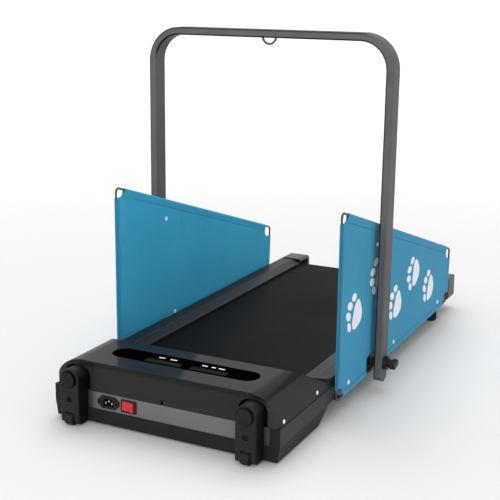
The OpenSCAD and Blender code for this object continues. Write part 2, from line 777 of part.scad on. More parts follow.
module fork() {
    w = leg_wide / 2;
    difference() {
        intersection() {
            along_x(leg_x - w, leg_x + w) polygon([[leg_front, joint_z], [leg_front, tray_low + 6],
                [leg_front + 5, tray_low], [plate_y - 8, tray_low], [plate_y, tray_low + 8],
                [plate_y, joint_z]]);
            translate([leg_x - w, leg_front, 0]) linear_extrude(joint_z + 5)
                soft_front(leg_wide, leg_deep + 20, soft);
        }
        block([leg_x - slot_half, leg_front - 1, 0], [leg_x + slot_half, slot_back, slot_top]);
        bar_x(leg_x - slot_half - 7, leg_x + slot_half + 7, wheel_y, wheel_r, pin_r);
        bar_y(leg_front - 1, leg_front + 6, leg_x, fork_z, 6.5);
        bar_y(leg_front, plate_y + 1, leg_x, fork_z, 2.5);
    }
}

module right_fork() color([0.19, 0.19, 0.2]) fork();

module left_fork() color([0.19, 0.19, 0.2]) mirror([1, 0, 0]) fork();

module wheel() {
    difference() {
        union() {
            bar_x(leg_x - wheel_wide / 2 + 1.5, leg_x + wheel_wide / 2 - 1.5, wheel_y, wheel_r, wheel_r);
            translate([leg_x - wheel_wide / 2, wheel_y, wheel_r]) rotate([0, 90, 0])
                cylinder(r1 = wheel_r - 1.5, r2 = wheel_r, h = 1.5);
            translate([leg_x + wheel_wide / 2 - 1.5, wheel_y, wheel_r]) rotate([0, 90, 0])
                cylinder(r1 = wheel_r, r2 = wheel_r - 1.5, h = 1.5);
        }
        bar_x(0, 400, wheel_y, wheel_r, pin_r + pin_play);
    }
}

module right_wheel() color([0.16, 0.16, 0.17]) wheel();

module left_wheel() color([0.16, 0.16, 0.17]) mirror([1, 0, 0]) wheel();

module wheel_axles() color([0.7, 0.7, 0.72]) both()
    bar_x(leg_x - slot_half - 7, leg_x + slot_half + 7, wheel_y, wheel_r, pin_r);

module fork_screws() color([0.12, 0.12, 0.12]) both() {
    difference() {
        bar_y(leg_front + 2, leg_front + 6, leg_x, fork_z, 4.5);
        translate([leg_x, leg_front + 4.5, fork_z]) rotate([90, 0, 0]) cylinder(r = 2.3, h = 4, $fn = 6);
    }
    bar_y(leg_front + 6, plate_back + 8, leg_x, fork_z, 2.5);
}

// section of the arch tube, thickness by width, smaller by i on each side
module tube_section(i) {
    t = tube_thick / 2 - i;
    w = tube_wide / 2 - i;
    soft_box([-t, -w], [t, w], tube_soft - i);
}

// half of the arch along its tube axis, the section smaller by i
module arch_half(i) {
    translate([arch_x, arch_y, plug_top]) linear_extrude(bar_z - bend_r - plug_top) tube_section(i);
    translate([arch_x - bend_r, arch_y, bar_z - bend_r]) rotate([90, 0, 0]) rotate_extrude(angle = 90)
        translate([bend_r, 0]) tube_section(i);
    along_x(0, arch_x - bend_r) translate([arch_y, bar_z]) rotate(90) tube_section(i);
}

module arch_tube() color([0.42, 0.42, 0.43]) difference() {
    both() arch_half(0);
    both() arch_half(tube_wall);
    both() bar_x(leg_in - 1, leg_out + 1, arch_y, pivot_z, pivot_r + pivot_play);
}

module arch_plugs() color([0.3, 0.3, 0.31]) both() {
    intersection() {
        translate([arch_x, arch_y, leg_low]) linear_extrude(plug_top - leg_low) tube_section(0);
        bar_x(leg_in - 1, leg_out + 1, arch_y, leg_low + tube_wide / 2 + 3, tube_wide / 2 + 3);
    }
    translate([arch_x, arch_y, plug_top]) linear_extrude(8) tube_section(tube_wall);
}

module leash_ring() color([0.42, 0.42, 0.43]) intersection() {
    translate([0, arch_y, ring_z + 2]) rotate([-90, 0, 0]) rotate_extrude(angle = 180)
        translate([ring_r, 0]) circle(wire_r, $fn = 32);
    block([-40, arch_y - 10, ring_z - 40], [40, arch_y + 10, ring_z]);
}

module bracket() {
    difference() {
        union() {
            along_x(tube_out, bracket_face) translate([arch_y, 0])
                soft_box([-27, tube_low + 3], [27, tube_high - 3], 5);
            bar_x(bracket_face - 1, leg_in - 0.3, arch_y, pivot_z, boss_r);
        }
        bar_x(tube_out - 1, leg_in + 1, arch_y, pivot_z, pivot_r);
    }
}

module right_bracket() color([0.06, 0.06, 0.06]) bracket();

module left_bracket() color([0.06, 0.06, 0.06]) mirror([1, 0, 0]) bracket();

module pivot_bolts() color([0.62, 0.62, 0.64]) both() {
    bar_x(tube_out - steel, leg_out + 12, arch_y, pivot_z, pivot_r);
    bar_x(tube_out - steel - 6, tube_out - steel, arch_y, pivot_z, 7.5);
}

// T-knob on the pivot bolt, the outer edges of its wings rounded by a turned profile
module knob() {
    difference() {
        union() {
            bar_x(leg_out + 0.3, leg_out + 9, arch_y, pivot_z, 15);
            bar_x(leg_out + 9, leg_out + 19, arch_y, pivot_z, 9.5);
            intersection() {
                translate([0, arch_y, pivot_z]) rotate([-knob_lean, 0, 0])
                    along_x(leg_out + 17, leg_out + 28) rotate(90) stadium(32, 12);
                translate([leg_out + 28, arch_y, pivot_z]) rotate([0, -90, 0]) rotate_extrude() {
                    square([12.2, 16]);
                    translate([0, 4]) square([16.2, 12]);
                    translate([12.2, 4]) circle(4);
                }
            }
        }
        bar_x(leg_out - 1, leg_out + 12.3, arch_y, pivot_z, pivot_r + pivot_play);
    }
}

module right_knob() color([0.05, 0.05, 0.05]) knob();

module left_knob() color([0.05, 0.05, 0.05]) mirror([1, 0, 0]) knob();

// straight rod from p to q in Y and Z
module rod(p, q, r) {
    translate([p[0], p[1], 0]) rotate([0, 0, atan2(q[1] - p[1], q[0] - p[0])]) rotate([0, 90, 0])
        cylinder(r = r, h = norm(q - p), $fn = 32);
}

// distance from corner i to the start of its bend
function bend_start(i) = rod_bend / tan(corner(i));

// half the angle of corner i
function corner(i) = acos(unit(rods[(i + 3) % 4] - rods[i]) * unit(rods[(i + 1) % 4] - rods[i])) / 2;

// bent corner i of the rod frame
module rod_corner(i, r) {
    u = unit(rods[(i + 3) % 4] - rods[i]);
    v = unit(rods[(i + 1) % 4] - rods[i]);
    c = rods[i] + unit(u + v) * rod_bend / sin(corner(i));
    s = rods[i] + u * bend_start(i) - c;
    translate([c[0], c[1], 0]) rotate([0, 0, atan2(s[1], s[0])]) rotate_extrude(angle = 180 - 2 * corner(i))
        translate([rod_bend, 0]) circle(r, $fn = 32);
}

// straight stretch of the rod frame after corner i, set a little into both bends
module rod_side(i, r) {
    j = (i + 1) % 4;
    v = unit(rods[j] - rods[i]);
    rod(rods[i] + v * (bend_start(i) - 0.9), rods[j] - v * (bend_start(j) - 0.9), r);
}

// rod frame in Y and Z, its bends a trace thicker where the rod is upset by bending
module rod_loop() {
    for (i = [0:3]) {
        rod_corner(i, rod_r + 0.06);
        rod_side(i, rod_r);
    }
}

module right_panel_frame() color([0.08, 0.07, 0.07]) yz(panel_x) rod_loop();

module left_panel_frame() color([0.08, 0.07, 0.07]) mirror([1, 0, 0]) yz(panel_x) rod_loop();

// places in Y and Z that the fabric leaves open
module cloth_cuts() {
    for (p = [[panel_front, panel_foot], [panel_rear_low, panel_heel], [panel_rear, panel_low],
        [panel_front, panel_high]]) translate(p)
        soft_box([-cut_long, -cut_tall], [cut_long, cut_tall], cut_soft);
    soft_box([arch_y + notch[0], panel_foot - 30], [arch_y + notch[1], pivot_z + 20], 9);
}

// sleeve of fabric around the rod of side i, from a to b along it
module hem(i, a, b) {
    v = unit(rods[(i + 1) % 4] - rods[i]);
    difference() {
        rod(rods[i] + v * a, rods[i] + v * b, rod_r + 1);
        rod(rods[i] + v * (a - 1), rods[i] + v * (b + 1), rod_r);
    }
}

// strip along the rod of side i
module rod_strip(i) {
    v = rods[(i + 1) % 4] - rods[i];
    translate(rods[i]) rotate(atan2(v[1], v[0])) translate([-10, -rod_r - 0.5])
        square([norm(v) + 20, 2 * rod_r + 1]);
}

module panel_cover() {
    difference() {
        along_x(panel_x - cloth / 2, panel_x + cloth / 2) difference() {
            polygon(rods);
            for (i = [0:3]) rod_strip(i);
            cloth_cuts();
        }
        for (p = snaps) bar_x(panel_x - 6, panel_x + 6, p[0], p[1], 1.5);
    }
    yz(panel_x) {
        for (i = [1, 3]) hem(i, cut_tall - 1, norm(rods[(i + 1) % 4] - rods[i]) - cut_tall + 1);
        hem(2, cut_long, norm(rods[3] - rods[2]) - cut_long);
        hem(0, cut_long - 1, arch_y + notch[0] - rods[0][0]);
        hem(0, arch_y + notch[1] - rods[0][0], norm(rods[1] - rods[0]) - cut_long + 1);
    }
}

module right_panel_cover() color([0.2, 0.5, 0.66]) panel_cover();

module left_panel_cover() color([0.2, 0.5, 0.66]) mirror([1, 0, 0]) panel_cover();

module panel_snaps() color([0.85, 0.86, 0.88]) both() for (p = snaps) {
    bar_x(panel_x - cloth / 2, panel_x + cloth / 2, p[0], p[1], 1.5);
    bar_x(panel_x + cloth / 2, panel_x + cloth / 2 + 1.2, p[0], p[1], snap_r);
    bar_x(panel_x - cloth / 2 - 1.2, panel_x - cloth / 2, p[0], p[1], snap_r);
}

module panel_clips() color([0.06, 0.06, 0.06]) both() for (y = clip_y) difference() {
    z = low_rod(y);
    block([tube_out, y - clip_half, z - 5], [panel_x + 1, y + clip_half, z + 5]);
    yz(panel_x) rod(rods[0], rods[1], rod_r);
    block([panel_x, y - clip_half - 3, z - rod_r + 0.4], [panel_x + 3, y + clip_half + 3, z + rod_r - 0.4]);
}

left_side_tube();
right_side_tube();
cross_members();
deck_board();
deck_cushions();
running_belt();
front_roller();
drive_pulley();
front_axle();
rear_roller();
rear_axle();
tension_bolts();
left_rail();
right_rail();
left_end_cap();
right_end_cap();
rear_feet();
front_feet();
bottom_tray();
motor_hood();
front_plate();
display_lens();
display_board();
motor_body();
motor_bracket();
motor_rotor();
drive_belt();
control_board();
heat_sink();
power_inlet();
inlet_pins();
switch_bezel();
switch_rocker();
hood_screws();
left_bumper();
right_bumper();
stand_pads();
left_fork();
right_fork();
left_wheel();
right_wheel();
wheel_axles();
fork_screws();
arch_tube();
arch_plugs();
leash_ring();
left_bracket();
right_bracket();
pivot_bolts();
left_knob();
right_knob();
left_panel_frame();
right_panel_frame();
left_panel_cover();
right_panel_cover();
panel_snaps();
panel_clips();
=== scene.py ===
import json
import math

import bpy
from mathutils import Matrix, Vector


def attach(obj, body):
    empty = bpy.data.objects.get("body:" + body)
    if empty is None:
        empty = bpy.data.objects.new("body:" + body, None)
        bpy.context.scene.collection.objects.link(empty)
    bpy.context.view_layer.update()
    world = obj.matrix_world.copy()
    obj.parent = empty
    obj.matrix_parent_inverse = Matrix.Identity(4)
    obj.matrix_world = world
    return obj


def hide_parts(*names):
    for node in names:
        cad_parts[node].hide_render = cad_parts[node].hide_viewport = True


# Dog treadmill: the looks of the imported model, in metres, X to the right, Y to the rear, Z up.
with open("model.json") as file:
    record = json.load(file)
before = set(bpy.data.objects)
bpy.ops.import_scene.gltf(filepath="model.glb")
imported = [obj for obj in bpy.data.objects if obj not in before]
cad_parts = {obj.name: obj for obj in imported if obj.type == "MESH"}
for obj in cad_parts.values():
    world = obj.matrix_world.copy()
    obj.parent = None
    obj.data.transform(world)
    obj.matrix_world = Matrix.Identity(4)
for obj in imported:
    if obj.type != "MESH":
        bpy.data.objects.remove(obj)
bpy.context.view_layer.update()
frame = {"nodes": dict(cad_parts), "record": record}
MM = 0.001

# Sizes shared with the model, in millimetres.
PANEL_X = 260.6
ROD_AXIS = [(-306.7, 39.3), (457.7, 50.3), (464.7, 190.2), (-306.7, 429.2)]
PANEL_CORNERS = [(-309, 37), (460, 48), (467, 192.5), (-309, 431.5)]
CUT_LONG, CUT_TALL, CUT_SOFT = 35, 26, 20
NOTCH = (-138, -71, 81)
SNAPS = [(-244, 60.2), (-63, 85), (38, 62.3), (379, 67.2), (-100, 321.8)]
LENS_TOP = 130.2
WINDOW_X, WINDOW_Y = (-35, 67), -488
SCREW_Y, SCREW_Z, SCREW_SEAT = (-530, -375), (78, 80), 247.2
ARCH_X, ARCH_Y, BAR_Z, BEND_R = 280.3, -100, 754, 67
LEG_X, LEG_JOINT = 195, 69
POCKET_FLAT, POCKET_Z = 8, 96.6
TRAY_LEDGE, TRAY_FRONT = 34.8, -551
RAIL_EDGE = 218

# Sizes of what the scene adds, in millimetres.
SLEEVE_R, CLOTH_HALF, CLOTH_THICK = 3.4, 1.2, 0.8
SEAMS = {"front": 14, "bottom": 12, "rear": 12, "top": 18}
STITCH_PITCH, STITCH_R, STITCH_LONG = 4.2, 0.34, 2.9
PAW_SIZE, FILM = 68, 0.16
MARK_Y, MARK_TALL = -466.8, 4.2


def clear_selection():
    if bpy.context.object and bpy.context.object.mode != "OBJECT":
        bpy.ops.object.mode_set(mode="OBJECT")
    bpy.ops.object.select_all(action="DESELECT")


def pick(piece):
    """Makes one piece the only selected and active one."""
    clear_selection()
    piece.select_set(True)
    bpy.context.view_layer.objects.active = piece
    return piece


def started(name):
    """Names the primitive that was just added."""
    piece = bpy.context.object
    piece.name = name
    piece.data.name = name
    return piece


def select_faces(piece, test):
    """Selects the faces that pass the test, in edit mode."""
    bpy.ops.object.mode_set(mode="EDIT")
    bpy.ops.mesh.select_mode(type="FACE")
    bpy.ops.mesh.select_all(action="DESELECT")
    bpy.ops.object.mode_set(mode="OBJECT")
    for face in piece.data.polygons:
        face.select = bool(test(face))
    bpy.ops.object.mode_set(mode="EDIT")


def leave_edit():
    bpy.ops.object.mode_set(mode="OBJECT")


def apply_all(piece):
    pick(piece)
    for m in list(piece.modifiers):
        bpy.ops.object.modifier_apply(modifier=m.name)


def settle(piece):
    """Puts the piece's place into its mesh."""
    pick(piece)
    bpy.ops.object.transform_apply(location=True, rotation=True, scale=True)


def smooth(piece, degrees=35):
    pick(piece)
    bpy.ops.object.shade_smooth_by_angle(angle=math.radians(degrees))


def joined(made, name):
    """Joins the pieces to one with that name."""
    clear_selection()
    for piece in made:
        piece.select_set(True)
    bpy.context.view_layer.objects.active = made[0]
    if len(made) > 1:
        bpy.ops.object.join()
    return started(name)


def copies(piece, places):
    """Copies of a piece moved by each place, joined to one piece with the first one's name."""
    name = piece.name
    made = []
    for place in places:
        twin = piece.copy()
        twin.data = piece.data.copy()
        twin.data.transform(place)
        if place.determinant() < 0:
            twin.data.flip_normals()
        bpy.context.scene.collection.objects.link(twin)
        made.append(twin)
    bpy.data.objects.remove(piece)
    return joined(made, name)


def at(x, y, z):
    """A move to that place in millimetres."""
    return Matrix.Translation((x * MM, y * MM, z * MM))


def put_on(piece, body, slot, finish, *nodes):
    """Gives a finished piece its body and material, and hides the nodes that it stands for; slot is not
    used.
    """
    piece.data.materials.clear()
    piece.data.materials.append(finish)
    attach(piece, body)
    if nodes:
        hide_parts(*nodes)


class Value:
    """A number that changes over a surface, with sums and products as Math nodes."""

    def __init__(self, paint, socket):
        self.paint, self.socket = paint, socket

    def sum(self, operation, *others):
        return self.paint.math(operation, self, *others)

    def __add__(self, o): return self.sum("ADD", o)
    def __radd__(self, o): return self.sum("ADD", o)
    def __sub__(self, o): return self.sum("SUBTRACT", o)
    def __rsub__(self, o): return self.paint.math("SUBTRACT", o, self)
    def __mul__(self, o): return self.sum("MULTIPLY", o)
    def __rmul__(self, o): return self.sum("MULTIPLY", o)
    def __truediv__(self, o): return self.sum("DIVIDE", o)
    def __pow__(self, o): return self.sum("POWER", o)
    def __gt__(self, o): return self.sum("GREATER_THAN", o)
    def __lt__(self, o): return self.sum("LESS_THAN", o)
    def least(self, o): return self.sum("MINIMUM", o)
    def most(self, o): return self.sum("MAXIMUM", o)
    def size(self): return self.sum("ABSOLUTE")
    def wave(self): return self.sum("SINE")
    def part(self): return self.sum("FRACT")


class Paint:
    """One material: its shader, and the nodes that feed it."""

    def __init__(self, name, **constants):
        self.material = bpy.data.materials.new(name)
        self.material.use_nodes = True
        self.tree = self.material.node_tree
        self.tree.nodes.clear()
        self.shader = self.node("ShaderNodeBsdfPrincipled")
        end = self.node("ShaderNodeOutputMaterial")
        self.tree.links.new(self.shader.outputs[0], end.inputs["Surface"])
        for socket, value in constants.items():
            self.shader.inputs[socket.replace("_", " ")].default_value = value
        self.place = self.node("ShaderNodeTexCoord").outputs["Object"]

    def node(self, kind, settings=None, inputs=None):
        made = self.tree.nodes.new(kind)
        for key, value in (settings or {}).items():
            setattr(made, key, value)
        for key, value in (inputs or {}).items():
            self.feed(made.inputs[key], value)
        return made

    def feed(self, socket, value):
        if isinstance(value, Value):
            self.tree.links.new(value.socket, socket)
        elif isinstance(value, bpy.types.NodeSocket):
            self.tree.links.new(value, socket)
        else:
            socket.default_value = value

    def math(self, operation, *values):
        made = self.node("ShaderNodeMath", {"operation": operation}, dict(enumerate(values)))
        return Value(self, made.outputs[0])

    def axes(self):
        split = self.node("ShaderNodeSeparateXYZ", None, {"Vector": self.place})
        return [Value(self, split.outputs[i]) for i in range(3)]

    def scaled(self, scale, turn=(0, 0, 0)):
        made = self.node("ShaderNodeMapping", None, {
            "Vector": self.place, "Scale": scale, "Rotation": turn})
        return made.outputs[0]

    def noise(self, scale, detail, vector=None):
        made = self.node("ShaderNodeTexNoise", None, {
            "Vector": vector or self.place, "Scale": scale, "Detail": detail, "Roughness": 0.55})
        return Value(self, made.outputs["Fac"])

    def cells(self, scale):
        made = self.node("ShaderNodeTexVoronoi", {"feature": "F1"}, {
            "Vector": self.place, "Scale": scale})
        return Value(self, made.outputs["Distance"])

    def step(self, value, low, high):
        made = self.node("ShaderNodeMapRange", {"interpolation_type": "SMOOTHSTEP"}, {
            "Value": value, "From Min": low, "From Max": high})
        return Value(self, made.outputs["Result"])

    def blend(self, share, a, b):
        """Colour a where share is 0, b where it is 1."""
        made = self.node("ShaderNodeMix", {"data_type": "RGBA"})
        colours = [s for s in made.inputs if s.type == "RGBA"]
        factor = next(s for s in made.inputs if s.type == "VALUE" and s.enabled)
        self.feed(factor, share)
        for socket, value in zip(colours, (a, b)):
            self.feed(socket, (*value, 1) if isinstance(value, tuple) else value)
        return next(s for s in made.outputs if s.type == "RGBA")

    def colour(self, socket):
        self.feed(self.shader.inputs["Base Color"], socket)
        return self

    def rough(self, value):
        self.feed(self.shader.inputs["Roughness"], value)
        return self

    def bump(self, height, depth):
        """Raises the surface by height times depth metres."""
        made = self.node("ShaderNodeBump", None, {"Height": height, "Distance": depth, "Strength": 1.0})
        self.feed(self.shader.inputs["Normal"], made.outputs["Normal"])
        return self


# Scale and depth of the orange peel of paint and of the grain of plastic, and a thread's width.
PEEL, PEEL_DEPTH = 900, 0.00006
GRAIN, GRAIN_DEPTH = 1300, 0.00005
WEAVE = 0.0011


def sprayed(p, low, high, rough):
    """Sets the peel and the gloss of sprayed paint and gives its clouded colour."""
    peel = p.noise(PEEL, 2.0)
    cloud = p.noise(9, 3.0)
    p.rough(rough + 0.1 * (cloud - 0.5) + 0.06 * (peel - 0.5))
    p.bump(peel, PEEL_DEPTH)
    return p.blend(p.step(cloud, 0.3, 0.7), low, high)


def powder_coat(name, low, high, rough, gloss=0.5):
    """Sprayed paint: a fine orange peel, a faint cloud and a slight change of gloss."""
    p = Paint(name, Specular_IOR_Level=gloss)
    return p.colour(sprayed(p, low, high, rough)).material


def arch_paint():
    """Sprayed paint of the arch, with painted shade along the edges of bar and bends and on one side of
    the legs.
    """
    p = Paint("arch_powder_coat", Specular_IOR_Level=0.12)
    x, y, z = p.axes()
    aside, rise = x.size() - (ARCH_X - BEND_R) * MM, z - (BAR_Z - BEND_R) * MM
    across = (aside.most(0) ** 2 + rise.most(0) ** 2) ** 0.5 + aside.most(rise).least(0) - BEND_R * MM
    # Painted shade: the edges of bar and bends and one side of the legs darkened, strongest on the inner
    # side.
    edge = p.step(across.size(), 0.004, 0.0066) * p.step((y - ARCH_Y * MM).size(), 0.0145, 0.018)
    upper = p.step(rise, 0, 0.03) * (1 - p.step(aside, 0, 0.03) * p.step(across, -0.001, 0.001))
    one_side = p.step(x * across, 0.0004, -0.0004)
    arch_painted_shade = edge * upper.most(one_side) * (0.68 + 0.3 * p.step(across, 0.002, -0.002))
    coat = sprayed(p, (0.085, 0.085, 0.086), (0.101, 0.101, 0.102), 0.5)
    return p.colour(p.blend(arch_painted_shade, coat, (0.004, 0.004, 0.004))).material


def plate_paint():
    """Sprayed paint of the front plate, with painted shade beside the legs."""
    p = Paint("plate_paint", Specular_IOR_Level=0.5)
    x, _, _ = p.axes()
    # Painted shade: the plate darkened where it meets the legs.
    painted_shade_beside_legs = p.step((x.size() - LEG_X * MM).size(), 0.046, 0.024)
    coat = sprayed(p, (0.098, 0.098, 0.1), (0.115, 0.115, 0.117), 0.5)
    return p.colour(p.blend(0.85 * painted_shade_beside_legs, coat, (0.01, 0.01, 0.01))).material


def grained(p, rough, shine):
    """Sets the spark-eroded grain and the gloss of moulded plastic, and gives its faint cloud."""
    grains, cloud = p.cells(GRAIN), p.noise(6, 4.0)
    p.rough(rough + 0.12 * (cloud - 0.5) - shine * (grains - 0.4))
    p.bump(grains, GRAIN_DEPTH)
    return cloud


def grained_plastic(name, low, high, rough, gloss=0.5):
    """Moulded plastic of one colour."""
    p = Paint(name, Specular_IOR_Level=gloss)
    cloud = grained(p, rough, 0.08)
    return p.colour(p.blend(p.step(cloud, 0.3, 0.7), low, high)).material


def leg_plastic():
    """Grained plastic of the front legs, with painted shade on its flanks and a dark seam between bumper
    and fork.
    """
    p = Paint("leg_plastic", Specular_IOR_Level=0.14)
    x, _, z = p.axes()
    cloud = grained(p, 0.5, 0)
    # Painted shade on the flanks of the legs, below the top of the bumper.
    painted_shade_flank = p.step((x.size() - LEG_X * MM).size(), 0.0195, 0.0215) * p.step(z, 0.112, 0.1)
    seam = p.step((z - LEG_JOINT * MM).size(), 0.0009, 0.0004)
    face = p.blend(cloud, (0.0115, 0.0115, 0.012), (0.0155, 0.0155, 0.016))
    return p.colour(p.blend(painted_shade_flank.most(seam), face, (0.005, 0.005, 0.005))).material


def tray_plastic():
    """Grained plastic of the tray: a paler upper band on its sides and a dark front."""
    p = Paint("tray_plastic", Specular_IOR_Level=0.15)
    _, y, z = p.axes()
    cloud = grained(p, 0.5, 0)
    upper = p.step(z - TRAY_LEDGE * MM, -0.0006, 0.0006)
    front = p.step(y - TRAY_FRONT * MM, 0.0005, -0.0005)
    sides = p.blend(upper, (0.011, 0.011, 0.0115), (0.034, 0.034, 0.035))
    dusty = p.blend(0.15 * cloud, sides, (0.05, 0.05, 0.051))
    return p.colour(p.blend(front, dusty, (0.0105, 0.0105, 0.011))).material


def rail_plastic():
    """Grained plastic of the foot rails, with painted shade on the bevel beside the belt and a painted
    highlight along its edge.
    """
    p = Paint("rail_plastic", Specular_IOR_Level=0.16)
    x, _, _ = p.axes()
    cloud = grained(p, 0.45, 0.08)
    # Painted shade on the bevel, and a painted highlight along the edge of the flat.
    bevel = p.step(x.size(), 0.2175, 0.2165)
    edge = p.step((x.size() - RAIL_EDGE * MM).size(), 0.0016, 0.0006)
    flat = p.blend(cloud, (0.0155, 0.016, 0.017), (0.0195, 0.02, 0.021))
    face = p.blend(bevel, flat, (0.0125, 0.0127, 0.0132))
    return p.colour(p.blend(0.7 * edge, face, (0.05, 0.051, 0.053))).material


def turned_metal(name, colour, rough):
    """Turned steel with fine rings along the axis."""
    p = Paint(name, Metallic=1.0)
    rings = p.noise(1.0, 2.0, vector=p.scaled((2500, 30, 30)))
    dark = tuple(0.75 * c for c in colour)
    p.colour(p.blend(rings, dark, colour))
    p.rough(rough - 0.06 + rings * 0.16)
    return p.bump(rings, 0.00002).material


def rubber(name, colour, rough):
    """Crumbly rubber, worn a little paler, with painted shade round the sides of the stand pads."""
    p = Paint(name, Specular_IOR_Level=0.05)
    _, y, _ = p.axes()
    crumbs = p.noise(700, 3.0)
    wear = p.noise(14, 3.0)
    light = tuple(1.4 * c + 0.003 for c in colour)
    # Painted shade round the sides of the stand pads.
    rim = p.step(y, -0.5897, -0.589) * p.step(y, -0.5815, -0.583)
    p.colour(p.blend(rim, p.blend(p.step(wear, 0.4, 0.75), colour, light), (0.002, 0.002, 0.002)))
    p.rough(rough + 0.14 * (crumbs - 0.5))
    return p.bump(crumbs, 0.0001).material


def gloss_hood():
    """Polished black plastic: gloss on top and front, satin sides, rubs and dust, the front painted paler
    than the top as painted light, and painted shade in the leg pockets and the front slot.
    """
    p = Paint("hood_polished", Specular_IOR_Level=0.04, Coat_Roughness=0.06, Coat_IOR=1.4)
    x, y, z = p.axes()
    satin = p.step(x.size(), 0.2215, 0.2232)
    shoulder = p.step(x.size() + 0.09 * (y + 0.53), 0.215, 0.2225)
    ripple = p.noise(16, 2.0)
    rubs = p.noise(1.0, 3.0, vector=p.scaled((30, 420, 60), (0, 0, 0.5)))
    dust = p.noise(60, 5.0)
    marks = p.step(rubs, 0.62, 0.8) * 0.5 + p.step(dust, 0.55, 0.8) * 0.5
    # Painted light: the front face below the top edge painted paler than the top.
    painted_light_front = p.blend(p.step(z, 0.124, 0.116), (0.0095, 0.0095, 0.01), (0.0175, 0.0175, 0.018))
    face = p.blend(satin * 0.9 + 0.1 * marks, painted_light_front, (0.034, 0.034, 0.035))
    # Painted shade: near black in the leg pockets and in the slot of the front.
    aside = ((x.size() - LEG_X * MM).size() - POCKET_FLAT * MM).most(0)
    rise = (z - POCKET_Z * MM).most(0)
    pocket = (p.step((aside * aside + rise * rise) ** 0.5, 0.0226, 0.0221)
              * p.step(y, -0.5518, -0.551) * p.step(y, -0.522, -0.5265))
    slot = p.step(x.size(), 0.0026, 0.0021) * p.step(z, 0.08, 0.0792) * p.step(y, -0.548, -0.5495)
    recess_painted_shade = pocket.most(slot)
    p.colour(p.blend(recess_painted_shade, face, (0.002, 0.002, 0.002)))
    p.rough(0.4 + 0.06 * marks)
    p.feed(p.shader.inputs["Coat Weight"], 0.28 * (1 - 0.9 * shoulder) * (1 - satin) * (1 - recess_painted_shade))
    return p.bump(ripple, 0.00003).material


def lens_gloss():
    """Black acrylic with two slightly paler display windows behind it."""
    p = Paint("lens_acrylic", Specular_IOR_Level=0.0)
    x, y, _ = p.axes()
    inside = 0.0
    for middle in WINDOW_X:
        dx = p.step((x - middle * MM).size(), 0.0405, 0.0395)
        dy = p.step((y - WINDOW_Y * MM).size(), 0.0085, 0.0078)
        inside = dx * dy + inside
    flecks = p.noise(300, 3.0)
    p.colour(p.blend(inside, (0.0006, 0.0006, 0.0007), (0.019, 0.019, 0.02)))
    p.rough(0.3 + 0.1 * p.step(flecks, 0.6, 0.8))
    return p.material


def belt_face():
    """Running belt: a fine diamond grain, worn a little paler along the middle."""
    p = Paint("belt_diamond", Specular_IOR_Level=0.03)
    x, y, _ = p.axes()
    pitch = 0.0032
    a = ((x + y) / pitch).part()
    b = ((x - y) / pitch).part()
    ridge = (a - 0.5).size().most((b - 0.5).size())
    lozenge = p.step(ridge, 0.5, 0.36)
    worn = p.step(x.size(), 0.17, 0.02) * p.step(p.noise(7, 4.0), 0.35, 0.7)
    p.colour(p.blend(0.6 * worn + 0.15 * lozenge, (0.0056, 0.0056, 0.0057), (0.0088, 0.0088, 0.0089)))
    p.rough(0.62 - 0.1 * lozenge + 0.08 * worn)
    return p.bump(lozenge, 0.00018).material


def woven(name, shade, light):
    """Plain weave: threads over and under along Y and Z, mottled, with painted shade on the front fold.
    """
    p = Paint(name, Specular_IOR_Level=0.08)
    _, y, z = p.axes()
    u, v = y * (math.pi / WEAVE), z * (math.pi / WEAVE)
    over = u.wave() * v.wave()
    threads = (u.wave().size() * (over > 0) + v.wave().size() * (over < 0))
    fade = p.noise(5, 4.0)
    mottle = p.noise(210, 2.0)
    slub = p.noise(1.0, 3.0, vector=p.scaled((20, 900, 60)))
    share = (0.4 * p.step(fade, 0.25, 0.75) + 0.3 * p.step(mottle, 0.3, 0.7)
             + 0.15 * threads + 0.15 * slub)
    # Painted shade along the front fold of the sleeve.
    fold_painted_shade = p.step(y, -0.3035, -0.3085)
    p.colour(p.blend(fold_painted_shade, p.blend(share, shade, light), tuple(0.55 * c for c in shade)))
    p.rough(0.82 - 0.12 * threads)
    return p.bump(threads, 0.00016).material


def printed(name):
    """White ink on the weave."""
    p = Paint(name, Specular_IOR_Level=0.3)
    _, y, z = p.axes()
    over = (y * (math.pi / WEAVE)).wave() * (z * (math.pi / WEAVE)).wave()
    cracks = p.noise(240, 5.0)
    p.colour(p.blend(p.step(cracks, 0.62, 0.75), (0.78, 0.83, 0.87), (0.62, 0.72, 0.8)))
    p.rough(0.55 + 0.1 * cracks)
    return p.bump(over, 0.00008).material


def moulded(name, colour, rough, gloss=0.5):
    """Small smooth moulding with a faint flow mark."""
    p = Paint(name, Specular_IOR_Level=gloss)
    flow = p.noise(45, 4.0)
    pale = tuple(min(1.0, 1.25 * c + 0.004) for c in colour)
    p.colour(p.blend(p.step(flow, 0.35, 0.7), colour, pale))
    p.rough(rough + 0.1 * (flow - 0.5))
    return p.bump(flow, 0.00004).material


def boards(name, colour, rough, streak):
    """Board with fine streaks of that scale along X, Y and Z."""
    p = Paint(name)
    lines = p.noise(1.0, 4.0, vector=p.scaled(streak))
    dark = tuple(0.6 * c for c in colour)
    p.colour(p.blend(lines, dark, colour))
    p.rough(rough + 0.15 * (lines - 0.5))
    return p.bump(lines, 0.0001).material


